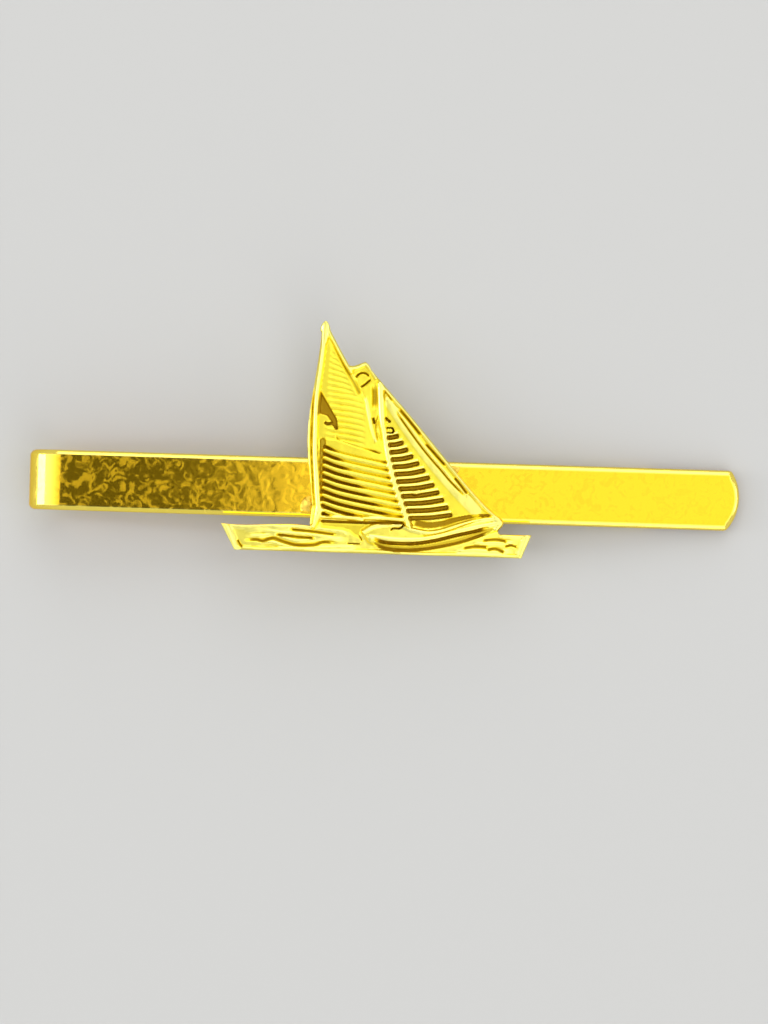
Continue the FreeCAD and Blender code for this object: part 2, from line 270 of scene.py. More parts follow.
def shaped_end(outline, towards):
    """The same for an end with an outline. towards is 1 if the blank's s grows away from it, or -1.

    The rim is inset square to the outline, but never past the chord between its corners.
    """
    points = resampled(outline, ACROSS)
    tangent = np.gradient(points, axis=0)
    square = tangent[:, 1] / np.linalg.norm(tangent, axis=1)
    chord = points[0] * (1 - SHARES) + points[-1] * SHARES
    bulge = (chord[:, 0] - points[:, 0]) * towards
    inset = np.minimum(square, bulge / RIM[0][0])
    return points, np.column_stack([inset * towards, points[:, 1] * -2 / BAR_WIDTH])


def open_end():
    """The front's round end, as (s, y) from its lower corner to its upper one."""
    rim = OPEN_END_POINTS[OPEN_END_POINTS[:, 2] < -THICK + FLAT]
    rim = np.unique(np.round(rim[:, :2], 3), axis=0)
    line = rim[np.lexsort([np.where(rim[:, 1] < 0, rim[:, 0], -rim[:, 0]), rim[:, 1]])]
    return shaped_end(np.column_stack([np.maximum(BAR_LENGTH / 2 - line[:, 0], 0), line[:, 1]]), 1)


def leg_tip():
    """The leg's tip: straight across, with round corners."""
    turns = np.linspace(0, math.pi / 2, 10)
    reach = BLANK_LENGTH - TIP_CORNER_R * (1 - np.sin(turns))
    half = np.column_stack([reach, BAR_WIDTH / 2 - TIP_CORNER_R * (1 - np.cos(turns))])
    return shaped_end(np.vstack([half * [1, -1], half[::-1]]), -1)


def soft_step(x):
    """Rises smoothly from 0 to 1 as x does."""
    x = np.clip(x, 0, 1)
    return x * x * (3 - 2 * x)


def surface_wave(s, y):
    """The outer face's slight unevenness from rolling, bending and wear."""
    long_wave = noise.noise(Vector((s * 0.16, y * 0.22, 3.1)))
    short_wave = noise.noise(Vector((s * 0.7, y * 0.8, 7.7)))
    return LONG_WAVE * long_wave + SHORT_WAVE * short_wave


def strip_stations(first, last):
    """Places along the blank from first to last, closer together where the strip turns."""
    stations = {first, last}
    for s0, length, *_, bend in STRETCHES:
        step = RUN_STEP if bend == 0 else TURN_STEP
        a, b = max(first, s0), min(last, s0 + length)
        if b > a:
            stations.update(np.linspace(a, b, math.ceil((b - a) / step) + 1).tolist())
    return np.array(sorted(stations))


def end_pulls(stations):
    """How far each station follows the first end's outline, and the last one's, from 1 down to 0."""
    away = (stations - stations[0], stations[-1] - stations)
    return [np.clip(1 - distance / END_BLEND, 0, 1) ** 2 for distance in away]


def rim_cells(rows):
    """(station, place across) once round the rim: lower side, last end, upper side, first end."""
    going = [(i, 0) for i in range(rows)] + [(rows, j) for j in range(ACROSS)]
    return going + [(i, ACROSS) for i in range(rows, 0, -1)] + [(0, j) for j in range(ACROSS, 0, -1)]


def rim_rings(stations, pulls, first, last):
    """Blank points once round the rim at each level of its section."""
    (first_line, first_in), (last_line, last_in) = first, last

    def side_line(j):
        first_off, last_off = first_line[j, 0] - stations[0], last_line[j, 0] - stations[-1]
        s = stations + pulls[0] * first_off + pulls[1] * last_off
        return np.column_stack([s, np.full(len(s), first_line[j, 1])])

    rim = np.vstack([side_line(0)[:-1], last_line[:-1], side_line(-1)[:0:-1], first_line[:0:-1]])
    low_in, high_in = [np.tile([0, sign], (len(stations) - 1, 1)) for sign in (1, -1)]
    inward = np.vstack([low_in, last_in[:-1], high_in, first_in[:0:-1]])
    return [np.column_stack([rim + inward * inset, np.full(len(rim), out)]) for inset, out in RIM]


def face_middle(ring, pulls, rows):
    """Places (s, y) inside a face's ring, in rows that take the shape of the ends as they near them."""
    low = np.array([ring[i, 0] for i in range(rows + 1)])
    high = np.array([ring[i, ACROSS] for i in range(rows + 1)])
    spread = low[:, None] * (1 - SHARES) + high[:, None] * SHARES
    for pull, i in zip(pulls, (0, rows)):
        shape = np.array([ring[i, j] for j in range(ACROSS + 1)])
        off = shape - (shape[0] * (1 - SHARES) + shape[-1] * SHARES)
        spread = spread + pull[:, None, None] * off
    return spread[1:-1, 1:-1].reshape(-1, 2)


def wear_and_highlight(blank, count):
    """How pale each blank point is painted, as wear and as a painted highlight: along the bevels and on the
    outside of the loop.
    """
    level = np.arange(len(blank)) // count
    bevelled = (level > 0) & (level < BEVEL_LEVELS)
    into_loop, out_of_loop = blank[:, 0] - STRETCHES[1][0], STRETCHES[2][0] - blank[:, 0]
    on_loop = soft_step(into_loop / WEAR_HIGHLIGHT_IN) * soft_step(out_of_loop / WEAR_HIGHLIGHT_OUT)
    return np.where(bevelled, 1.0, LOOP_WEAR_HIGHLIGHT * on_loop * (blank[:, 2] > 0))


def strip_piece(first, last):
    """Front frame points of the blank between two ends, bent to shape, its faces, and each point's wear and
    painted highlight.
    """
    stations = strip_stations(first[0][:, 0].min(), last[0][:, 0].max())
    rows = len(stations) - 1
    pulls = end_pulls(stations)
    cells = rim_cells(rows)
    count = len(cells)
    blank = rim_rings(stations, pulls, first, last)
    size = count * len(RIM)
    faces = []
    for k in range(0, size - count, count):
        for m in range(count):
            after = (m + 1) % count
            faces.append([k + m, k + after, k + count + after, k + count + m])

    for level, waved in ((0, True), (len(RIM) - 1, False)):
        middle = face_middle({cell: blank[level][m, :2] for m, cell in enumerate(cells)}, pulls, rows)
        height = np.full(len(middle), RIM[level][1])
        if waved:
            inland = np.minimum(middle[:, 0] - stations[0], stations[-1] - middle[:, 0])
            height += soft_step(inland / WAVE_FADE) * [surface_wave(*at) for at in middle]
        blank.append(np.column_stack([middle, height]))
        index = np.zeros((rows + 1, ACROSS + 1), int)
        for m, cell in enumerate(cells):
            index[cell] = level * count + m
        index[1:-1, 1:-1] = size + np.arange(len(middle)).reshape(rows - 1, ACROSS - 1)
        size += len(middle)
        squares = np.stack([index[:-1, :-1], index[1:, :-1], index[1:, 1:], index[:-1, 1:]], axis=-1)
        squares = squares.reshape(-1, 4)
        faces += (squares[:, ::-1] if waved else squares).tolist()
    blank = np.vstack(blank)
    return bent(blank), faces, wear_and_highlight(blank, count)


LEAD = 0.5                   # how far the bent piece runs on into the straight ones
LOOP_START = BAR_LENGTH - LOOP_RADIUS - LEAD
LOOP_END = STRETCHES[2][0] + LEAD


def make_strip():
    """The strip in three pieces that meet on its straights, so that the loop can flex between them."""
    front_cut, leg_cut = cut_end(LOOP_START), cut_end(LOOP_END)
    pieces = []
    for name, first, last, body, stands_for in (
        ("front_strip", open_end(), front_cut, "front", ["front_bar"]),
        ("loop_bend", front_cut, leg_cut, None, []),
        ("leg_strip", leg_cut, leg_tip(), "leg", ["spring_leg"]),
    ):
        points, faces, worn_and_lit = strip_piece(first, last)
        piece = make_piece(name, points, faces, body, stands_for)
        set_tone(piece, worn_and_lit)
        pieces.append(piece)
    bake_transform(pieces[1])
    return pieces


# ---- The yacht's outline and grid ------------------------------------------------------------------
CELL = 0.05
EDGE_ROUND = 0.1             # how far the struck edge is rounded over
EDGE_RINGS = [0.2, 0.5, 1.0]     # shares of that distance at which a ring of points follows the rim


def back_outline(node, points):
    """The outline of a node's flat back, anticlockwise. points are its vertices in the front frame."""
    flat = points[:, 2] < points[:, 2].min() + FLAT
    spot = [tuple(p) for p in np.round(points[:, :2], 4)]
    used = set()
    for p in frame["nodes"][node].data.polygons:
        if p.normal.dot(FRONT_NORMAL) < -FACING and all(flat[k] for k in p.vertices):
            ring = [spot[k] for k in p.vertices]
            used.update(zip(ring, ring[1:] + ring[:1]))
    follow = {a: b for a, b in used if (b, a) not in used}
    line = [min(follow)]
    while follow[line[-1]] != line[0]:
        line.append(follow[line[-1]])
    return np.array(line[::-1])


def nearest(points, line, closed=False):
    """For each point: its distance to a line of points, the share along it, and the nearest place."""
    ends = np.vstack([line[1:], line[:1]]) if closed else line[1:]
    starts = line if closed else line[:-1]
    lengths = np.linalg.norm(ends - starts, axis=1)
    travelled = np.concatenate([[0], np.cumsum(lengths)])
    best = np.full(len(points), np.inf)
    share = np.zeros(len(points))
    place = np.zeros((len(points), 2))
    for k, (a, b) in enumerate(zip(starts, ends)):
        if lengths[k] < 1e-9:
            continue
        t = np.clip((points - a) @ (b - a) / lengths[k] ** 2, 0, 1)
        foot = a + t[:, None] * (b - a)
        away = np.linalg.norm(points - foot, axis=1)
        nearer = away < best
        best[nearer] = away[nearer]
        share[nearer] = (travelled[k] + t[nearer] * lengths[k]) / travelled[-1]
        place[nearer] = foot[nearer]
    return best, share, place


def inside(points, loop):
    """Which points lie inside a closed line."""
    odd = np.zeros(len(points), bool)
    u, v = points[:, 0], points[:, 1]
    for (u0, v0), (u1, v1) in zip(loop, np.roll(loop, -1, axis=0)):
        if v0 == v1:
            continue
        crosses = (v0 > v) != (v1 > v)
        odd ^= crosses & (u < u0 + (v - v0) * (u1 - u0) / (v1 - v0))
    return odd


def smooth(points, steps=7):
    """A smooth line through points (Catmull-Rom)."""
    p = np.array(points, float)
    if len(p) == 2:
        return p
    p = np.vstack([2 * p[0] - p[1], p, 2 * p[-1] - p[-2]])
    line = []
    for a, b, c, d in zip(p, p[1:], p[2:], p[3:]):
        for t in np.arange(steps) / steps:
            line.append(0.5 * (2 * b + (c - a) * t + (2 * a - 5 * b + 4 * c - d) * t**2
                               + (3 * b - a - 3 * c + d) * t**3))
    return np.array(line + [p[-2]])


BLANK_TONE = 0.55            # where nothing is drawn, how far the blank's tone lies toward the pale crest colour
EVEN = ((0, 1), (1, 1))      # a groove that is equally deep all along


class Relief:
    """Heights over the yacht's drawing, in millimetres above the blank's back, and their tone.

    Tone is 0 on plain metal, 1 where it is painted pale as wear and a painted highlight, and -1 where it is
    sunk and painted dark with dirt and painted shade. The drawing's (u, v) are millimetres right of and above
    the corner of the yacht's box.
    """

    def __init__(self, points, outline, level):
        self.points = points
        self.height = np.full(len(points), level)
        self.tone = np.full(len(points), BLANK_TONE)
        self.rim = nearest(points, outline, closed=True)[0]

    def around(self, points, width, end_width, fade):
        """Of the points near a smooth line: which, how many half widths out, the fade, the share along."""
        line = smooth(points)
        reach = max(width, end_width or 0)
        low, high = line.min(axis=0) - reach, line.max(axis=0) + reach
        near = np.flatnonzero(((self.points > low) & (self.points < high)).all(axis=1))
        away, share, _ = nearest(self.points[near], line)
        radius = (width + ((end_width or width) - width) * share) / 2
        faded = soft_step(np.minimum(share, 1 - share) / fade) if fade else 1.0
        return near, away / radius, faded, share

    def ridge(self, points, width, crest, end_width=None, fade=0.0, rub_and_light=0.8):
        """Raises a rounded band up to crest and paints its top paler, as wear and a painted highlight."""
        near, x, faded, _ = self.around(points, width, end_width, fade)
        form = np.clip(1 - x * x, 0, 1) * faded
        self.height[near] += np.maximum(crest - self.height[near], 0) * form
        # The band's top is painted paler: wear, and a painted highlight.
        self.tone[near] += (rub_and_light - self.tone[near]) * soft_step(1.6 * form)

    def groove(self, points, width, floor, end_width=None, fade=0.0, wall=0.6, dirt_and_shade=1.0, depths=EVEN):
        """Cuts a band down to floor and paints it darker, with dirt and painted shade. wall is the share of
        its half width that slopes.

        depths are (share of the way along, share of the full depth) pairs. A shallow stretch is narrow too.
        """
        near, x, faded, share = self.around(points, width, end_width, fade)
        depth = np.interp(share, *zip(*depths))
        form = soft_step((1 - x / (0.4 + 0.6 * depth)) / wall) * faded * depth
        self.height[near] -= np.maximum(self.height[near] - floor, 0) * form
        # The groove is painted darker: dirt, and painted shade in the recess.
        self.tone[near] += (-dirt_and_shade - self.tone[near]) * form

    def area(self, loop, level, soften=0.12, crown=0.0, crown_reach=1.0, tone=0.0):
        """Sets an area's level, with a softened edge, and swells it by crown towards its middle."""
        line = np.array(loop, float)
        within = inside(self.points, line)
        away = nearest(self.points, line, closed=True)[0]
        form = np.where(within, soft_step(0.5 + away / soften), soft_step(0.5 - away / soften))
        swell = crown * np.where(within, np.sqrt(np.clip(away / crown_reach, 0, 1)), 0)
        self.height += (level + swell - self.height) * form
        self.tone += (tone - self.tone) * form


def filled(outline, cell):
    """Points and faces that fill an outline, and the indices of its rim.

    Square cells fill the middle. Between them and the outline, triangles follow lines parallel to the rim.
    """
    low = outline.min(axis=0) - cell / 2
    count = np.ceil((outline.max(axis=0) + cell / 2 - low) / cell).astype(int)
    corner = np.stack(np.meshgrid(*[np.arange(n + 1) for n in count], indexing="ij"), axis=-1)
    grid = (low + corner * cell).reshape(-1, 2)
    clear = inside(grid, outline) & (nearest(grid, outline, closed=True)[0] > EDGE_ROUND + 0.4 * cell)
    clear = clear.reshape(count + 1)
    kept = clear[:-1, :-1] & clear[1:, :-1] & clear[1:, 1:] & clear[:-1, 1:]
    i, j = np.nonzero(kept)
    stride = count[1] + 1
    first = i * stride + j
    quads = np.column_stack([first, first + stride, first + stride + 1, first + 1])
    used, flat = np.unique(quads, return_inverse=True)
    quads = flat.reshape(quads.shape)
    points = grid[used]
    edges = np.vstack([quads[:, [k, (k + 1) % 4]] for k in range(4)]).tolist()
    seen = set(map(tuple, edges))
    border = [(a, b) for a, b in seen if (b, a) not in seen]
    border_points = sorted({a for a, _ in border})

    rim = []
    for a, b in zip(outline, np.roll(outline, -1, axis=0)):
        steps = math.ceil(np.linalg.norm(b - a) / cell)
        rim += [a + (b - a) * k / steps for k in range(steps)]
    rim = np.array(rim)
    along = np.roll(rim, -1, axis=0) - np.roll(rim, 1, axis=0)
    inward = np.column_stack([-along[:, 1], along[:, 0]]) / np.linalg.norm(along, axis=1)[:, None]
    inner = []
    for share in EDGE_RINGS:
        ring = rim + inward * share * EDGE_ROUND
        off = nearest(ring, outline, closed=True)[0]
        inner.append(ring[off > 0.9 * share * EDGE_ROUND])
    ring_points = np.vstack(inner)

    first_ring = len(points) + len(rim)
    names = list(range(len(points), first_ring + len(ring_points))) + border_points
    places = np.vstack([rim, ring_points, points[border_points]])
    spot = {name: k for k, name in enumerate(names)}
    rim_edges = [(k, (k + 1) % len(rim)) for k in range(len(rim))]
    border_edges = [(spot[a], spot[b]) for a, b in border]
    made = geometry.delaunay_2d_cdt([Vector(p) for p in places], rim_edges + border_edges, [], 1, 1e-6)
    at = [names[same[0]] for same in made[3]]
    middle = np.array([np.mean([made[0][k] for k in face], axis=0) for face in made[2]])
    cell_of = np.clip(np.floor((middle - low) / cell).astype(int), 0, count - 1)
    band = [[at[k] for k in face] for face, covered in zip(made[2], kept[tuple(cell_of.T)]) if not covered]
    points = np.vstack([points, rim, ring_points])
    return points, quads.tolist() + band, list(range(first_ring - len(rim), first_ring))


def plate_on(points, faces, rim, height):
    """A closed solid with its top at each point's height and a flat underside at 0."""
    top = np.column_stack([points, height])
    foot = np.column_stack([points[rim], np.zeros(len(rim))])
    first = len(points)
    walls = []
    for m, corner in enumerate(rim):
        after = (m + 1) % len(rim)
        walls.append([first + m, first + after, rim[after], corner])
    under = list(range(first + len(rim) - 1, first - 1, -1))
    return np.vstack([top, foot]), faces + walls + [under]


# ---- The yacht's relief ----------------------------------------------------------------------------
WAVE_HEIGHT = 0.02           # the relief's unevenness, and its finer roughness
ROUGH_HEIGHT = 0.008
SEA_LEVEL = 0.7
SAIL_LEVEL = 0.86
RIB_CREST = 0.98
SLOT_FLOOR = 0.36
GROOVE_FLOOR = 0.6
SPAR_CREST = 1.12
DECK_LEVEL = 1.04
BOOM_V = 2.8
LEECH = [(7.84, 17.96), (7.72, 16.6), (7.52, 14.6), (7.28, 12.2), (7.24, 9.8), (7.28, 7.8), (7.44, 5.8),
         (7.6, 4.2), (7.72, 3.24)]
GAFF = [(8.0, 17.6), (8.75, 16.25), (9.45, 15.05), (9.95, 14.3), (10.9, 12.5)]
MAST = [(12.3, 13.3), (12.4, 11.8), (12.52, 10.4), (12.72, 9.5), (13.13, 7.5), (13.7, 5.5), (14.47, 3.5),
        (14.85, 2.3)]
LUFF = [(12.95, 12.1), (14.4, 10.05), (16.4, 7.55), (18.4, 5.35), (20.1, 3.7)]
SLOT_ENDS = [(13.1, 10.6), (13.6, 9.53), (14.7, 8.0), (15.95, 6.63), (16.7, 5.5), (17.7, 4.06), (18.15, 3.2)]


def u_at(line, v):
    """The u of a falling line of drawing points at height v."""
    return float(np.interp(-v, [-p[1] for p in line], [p[0] for p in line]))


def sea(relief):
    """Water between turned-up ends, its waves cut as short curling strokes."""
    lip = SEA_LEVEL + 0.2
    relief.ridge([(1.28, -0.1), (0.3, 2.06)], 0.9, lip + 0.04, rub_and_light=1.0)
    relief.ridge([(23.6, -0.1), (24.3, 1.9)], 0.8, lip + 0.04, rub_and_light=1.0)
    relief.ridge([(0.4, 1.92), (1.8, 1.8), (3.6, 1.9), (5.2, 1.84), (7.2, 1.96)], 0.5, lip - 0.1, rub_and_light=0.8)
    relief.ridge([(1.4, 0.2), (3.4, 0.12), (5.6, 0.22), (8.4, 0.14), (12.0, 0.2), (16.0, 0.1), (20.0, 0.2),
                  (23.8, 0.12)], 0.36, lip, rub_and_light=0.7)
    swells = [
        [(1.6, 1.5), (3.2, 1.6), (4.8, 1.44), (7.0, 1.34), (9.2, 1.16)],
        [(1.8, 1.02), (3.0, 1.1), (4.4, 1.24), (6.0, 0.82), (8.0, 1.04), (10.2, 1.06)],
        [(2.4, 0.5), (4.0, 0.66), (5.2, 0.42), (7.2, 0.3), (9.6, 0.44), (11.2, 0.4)],
        [(7.4, 1.9), (8.8, 1.74), (10.2, 1.6)],
        [(18.4, 0.3), (20.0, 0.5), (21.6, 0.44), (23.2, 0.5)],
        [(20.0, 1.04), (21.6, 1.12), (23.4, 1.2)],
        [(22.0, 1.7), (23.2, 1.62), (24.2, 1.66)],
    ]
    for swell in swells:
        relief.ridge(swell, 0.42, SEA_LEVEL + 0.13, fade=0.15, rub_and_light=0.75)
    strokes = [
        ([(5.36, 1.76), (7.12, 1.64), (8.56, 1.48), (9.2, 1.4)], 0.26),
        ([(4.3, 1.3), (6.16, 1.16), (7.5, 1.1)], 0.26),
        ([(1.84, 0.76), (2.8, 0.84), (3.36, 0.76), (4.16, 1.0), (4.96, 0.76), (6.0, 0.52), (7.36, 0.56),
          (8.16, 0.8), (9.2, 0.76)], 0.34),
        ([(10.0, 0.76), (11.12, 0.76)], 0.14),
        ([(9.7, 2.0), (10.4, 1.86), (10.96, 1.4), (11.28, 0.92)], 0.18),
        ([(20.72, 1.32), (21.76, 1.44), (22.7, 1.3)], 0.3),
        ([(19.2, 0.66), (20.2, 0.84), (21.2, 0.8)], 0.3),
        ([(21.1, 0.6), (21.8, 0.7), (22.5, 0.42)], 0.34),
        ([(22.5, 0.88), (23.0, 1.0), (23.5, 0.86)], 0.28),
        ([(1.35, 0.8), (1.55, 0.45), (1.75, 0.22)], 0.22),
    ]
    for stroke, width in strokes:
        relief.groove(stroke, width, GROOVE_FLOOR - 0.04, fade=0.1, wall=0.8, dirt_and_shade=0.85)


def sails(relief):
    """The gaff mainsail and the jib as gently swelling cloth, with folds under the gaff."""
    relief.area([(7.9, 17.6), (9.4, 15.0), (10.75, 12.6), (11.9, 10.2), (12.9, 8.2), (13.4, 6.4),
                 (14.6, 2.9), (8.0, 2.9), (7.6, 5.8), (7.4, 9.8), (7.6, 14.6)], SAIL_LEVEL - 0.08, 0.3,
                0.12, 1.8)
    relief.area([(12.3, 12.6), (14.6, 10.6), (17.6, 7.3), (21.6, 3.3), (14.7, 2.7), (13.4, 6.8),
                 (12.9, 9.8)], SAIL_LEVEL - 0.04, 0.3)
    relief.area([(10.7, 12.7), (10.0, 14.6), (11.2, 15.0), (12.3, 13.4), (12.5, 11.6), (12.0, 9.8),
                 (11.5, 11.0)], SAIL_LEVEL, 0.3)
    for k in range(16):
        v = 15.8 - 0.45 * k
        left, right = u_at(LEECH, v) + 0.6, u_at(GAFF, v - 0.3) - 0.4 if v > 13 else 11.3
        relief.groove([(left, v), ((left + right) / 2, v - 0.1), (right, v - 0.42)], 0.3, SAIL_LEVEL - 0.08,
                      fade=0.2, wall=1.0, dirt_and_shade=0.2)


def hull(relief):
    """A rounded topside under a dished deck, with the two strake lines cut along it."""
    relief.area([(11.1, 1.7), (11.92, 2.3), (12.96, 2.5), (14.16, 2.5), (15.12, 2.16), (16.4, 1.96),
                 (17.36, 2.14), (18.56, 2.58), (19.76, 2.94), (20.96, 3.22), (21.95, 3.26), (22.3, 2.9),
                 (22.3, 2.5), (21.8, 2.1), (20.6, 1.56), (19.0, 1.0), (17.4, 0.6), (15.8, 0.3),
                 (14.1, 0.24), (12.8, 0.4), (11.7, 0.9)], DECK_LEVEL - 0.16, 0.24, 0.14, 0.8, tone=0.5)
    relief.ridge([(11.3, 1.75), (12.1, 2.16), (13.2, 2.32), (14.3, 2.28), (15.2, 1.96), (16.5, 1.78),
                  (17.5, 1.96), (18.7, 2.38), (19.9, 2.76), (21.1, 3.0), (21.9, 2.98)], 0.4,
                 DECK_LEVEL + 0.06, rub_and_light=1.0)
    relief.ridge([(11.8, 1.34), (13.6, 1.18), (15.4, 1.2), (17.0, 1.5), (18.6, 1.94), (20.2, 2.36),
                  (21.9, 2.72)], 0.4, DECK_LEVEL + 0.08, rub_and_light=1.0)
    # This low band is painted darker.
    relief.ridge([(12.3, 0.84), (13.6, 0.6), (15.6, 0.64), (17.4, 0.96), (19.2, 1.44), (21.4, 2.22)],
                 0.3, DECK_LEVEL - 0.1, rub_and_light=-0.5)
    relief.groove([(11.9, 1.3), (12.7, 1.0), (13.76, 0.88), (15.36, 0.92), (16.96, 1.2), (18.56, 1.64),
                   (20.16, 2.04), (21.3, 2.42)], 0.36, GROOVE_FLOOR, fade=0.1, wall=0.8)
    relief.groove([(11.76, 0.92), (12.96, 0.48), (14.16, 0.36), (15.76, 0.44), (17.36, 0.72), (18.96, 1.12),
                   (20.4, 1.64), (21.52, 2.12)], 0.36, GROOVE_FLOOR, fade=0.1, wall=0.8, dirt_and_shade=0.8)
    relief.groove([(14.96, 1.4), (17.36, 1.8), (19.76, 2.68), (20.9, 3.0)], 0.12, DECK_LEVEL - 0.12,
                  fade=0.3, dirt_and_shade=0.3)
    relief.groove([(13.44, 1.8), (13.6, 2.04), (14.16, 2.08), (14.56, 2.44)], 0.16, GROOVE_FLOOR, fade=0.2,
                  dirt_and_shade=0.8)
    relief.groove([(14.3, 2.5), (14.75, 2.2), (14.96, 2.12)], 0.14, GROOVE_FLOOR, fade=0.2)
    relief.ridge([(21.7, 3.14), (22.1, 2.75), (21.8, 2.3)], 0.5, DECK_LEVEL + 0.06, rub_and_light=1.0)


def fanned(start, stop):
    """A line from leech to mast that drops quickly at first, cut off where it meets the boom."""
    run, fall = stop[0] - start[0], stop[1] - start[1]
    line = smooth([start, (start[0] + 0.22 * run, start[1] + 0.34 * fall),
                   (start[0] + 0.58 * run, start[1] + 0.68 * fall), stop], 4)
    return line[line[:, 1] > BOOM_V]


def mainsail_ribs(relief):
    """Ribs that fan from the leech to the mast. The upper grooves between them are mostly shallow."""
    relief.groove([(7.86, 8.8), (7.9, 6.4), (8.04, 3.2)], 0.56, SLOT_FLOOR + 0.2, 0.4, wall=0.5, dirt_and_shade=0.6)
    depths = ((0, 0.8), (0.15, 0.25), (0.6, 0.25), (0.85, 0.9), (1, 0.5))
    relief.groove([(8.86, 9.3), (9.2, 8.9), (10.5, 8.45), (11.6, 8.2), (12.6, 7.9)], 0.26, GROOVE_FLOOR,
                  fade=0.06, wall=0.9, dirt_and_shade=0.8, depths=depths)
    count, pitch_leech, pitch_mast = 10, 0.59, 0.61
    for k in range(count):
        stop_v = 7.25 - pitch_mast * k
        line = fanned((8.02, 8.38 - pitch_leech * k), (u_at(MAST, stop_v) - 0.24, stop_v))
        if len(line) > 5:
            relief.ridge(line - [0, 0.29], 0.42, RIB_CREST, 0.36, rub_and_light=0.45)
        deep_until = min(0.1 + 0.09 * k, 0.75)
        depths = ((0, 1), (deep_until, 0.9), (deep_until + 0.15, 0.3), (0.9, 0.35), (1, 0.75))
        relief.groove(line, 0.36, SLOT_FLOOR + 0.06, 0.26, wall=0.85, dirt_and_shade=0.95, depths=depths)


def tear_and_masthead(relief):
    """The sunk triangle by the leech, and the halyard block and folds at the masthead."""
    # The sunk triangle is painted dark: painted shade in the recess.
    relief.area([(7.6, 12.68), (8.5, 11.2), (8.88, 10.6), (9.0, 9.9), (8.5, 10.4), (8.16, 10.84),
                 (7.56, 11.0)], SLOT_FLOOR + 0.16, 0.14, tone=-0.8)
    relief.groove([(7.9, 10.3), (8.2, 10.16), (8.6, 10.2), (9.0, 9.7)], 0.28, GROOVE_FLOOR - 0.1, fade=0.12)
    relief.groove([(8.3, 16.8), (9.1, 15.3), (9.75, 14.2), (10.35, 13.25), (10.85, 12.3)], 0.18,
                  SAIL_LEVEL - 0.2, 0.5, fade=0.1, wall=1.0, dirt_and_shade=0.6)
    turns = np.radians(np.linspace(170, 25, 7))
    ring = [(10.88 + 0.56 * math.cos(a), 13.72 + 0.56 * math.sin(a)) for a in turns]
    relief.groove(ring, 0.24, GROOVE_FLOOR, fade=0.12, wall=0.9, dirt_and_shade=0.7)
    relief.groove([(10.7, 13.12), (11.1, 13.4), (11.52, 13.8)], 0.26, GROOVE_FLOOR, fade=0.12, wall=0.9,
                  dirt_and_shade=0.7)
    relief.ridge([(9.95, 14.6), (10.4, 14.68), (11.0, 14.94), (11.35, 14.7), (11.9, 13.9)], 0.34,
                 SPAR_CREST - 0.06, rub_and_light=1.0)
    relief.groove([(11.76, 13.5), (11.86, 12.4), (11.84, 11.3)], 0.62, SAIL_LEVEL - 0.26, fade=0.3,
                  wall=1.0, dirt_and_shade=0.6)
    relief.groove([(11.76, 10.84), (11.86, 10.5), (11.92, 10.2)], 0.2, SAIL_LEVEL - 0.3, fade=0.3)
    relief.groove([(12.24, 11.16), (12.0, 10.2), (12.12, 9.4), (12.2, 8.6)], 0.14, SAIL_LEVEL - 0.14,
                  fade=0.25, dirt_and_shade=0.5)
    relief.ridge([(11.1, 12.6), (11.4, 11.2), (11.8, 9.6), (12.2, 8.6)], 0.34, SAIL_LEVEL + 0.1, fade=0.15)


def jib_slots(relief):
    """Sunk slots between the jib's ribs, each rising from mast to luff, and the one under the jib."""
    count, pitch, top_v = 12, 0.5755, 9.22
    for k in range(count):
        v = top_v - pitch * k
        lift = 0.22 - 0.01 * k
        start = u_at(MAST, v) + 0.26
        reach = 0.3
        for _ in range(4):
            reach = max(u_at(SLOT_ENDS, v + lift * reach) - start, 0.3)
        for up, cut in ((0.29, False), (0.0, True)):
            line = [(start, v + up), (start + 0.5 * reach, v + up + 0.3 * lift * reach),
                    (start + reach, v + up + lift * reach)]
            if cut:
                relief.groove(line, 0.4, SLOT_FLOOR, 0.36, wall=0.45)
            else:
                relief.ridge(line, 0.3, RIB_CREST, rub_and_light=0.9)
    relief.groove([(12.95, 10.0), (13.3, 9.98), (13.42, 9.8), (13.34, 9.62), (12.95, 9.6)], 0.16,
                  SLOT_FLOOR + 0.1)
    relief.groove([(12.8, 10.75), (13.1, 10.5)], 0.22, SLOT_FLOOR + 0.2)
    relief.ridge([(15.25, 4.9), (15.6, 5.02)], 0.4, RIB_CREST + 0.06)
    relief.groove([(15.1, 2.66), (16.3, 2.4), (17.5, 2.56), (18.5, 2.88), (19.6, 3.16), (20.7, 3.32),
                   (21.5, 3.3)], 0.68, SAIL_LEVEL - 0.3, 0.16, fade=0.06, wall=0.35, dirt_and_shade=0.75)


def luff_and_stay(relief):
    """The luff tape and the forestay, with the sunk links between them."""
    relief.ridge(LUFF, 0.9, SAIL_LEVEL - 0.02, 1.2, rub_and_light=0.8)
    relief.ridge([(12.2, 13.5), (14.16, 11.42), (17.5, 7.58), (20.4, 4.36), (21.7, 3.2)], 0.46,
                 SPAR_CREST - 0.04, rub_and_light=0.9)
    links = [
        ([(13.44, 11.56), (14.16, 10.52), (15.84, 8.36), (17.36, 6.68), (18.16, 5.8), (19.44, 4.6)], 0.16),
        ([(13.76, 11.64), (14.7, 10.56), (15.68, 9.4)], 0.22),
        ([(15.92, 8.92), (16.8, 8.0), (17.68, 7.08)], 0.2),
        ([(18.32, 6.28), (18.9, 5.6), (19.44, 4.92)], 0.2),
    ]
    for link, width in links:
        relief.groove(link, width + 0.05, GROOVE_FLOOR, fade=0.12, wall=0.9, dirt_and_shade=0.75)
    relief.groove([(12.08, 13.24), (12.64, 12.84), (13.44, 11.96)], 0.16, GROOVE_FLOOR + 0.1, fade=0.25,
                  dirt_and_shade=0.6)


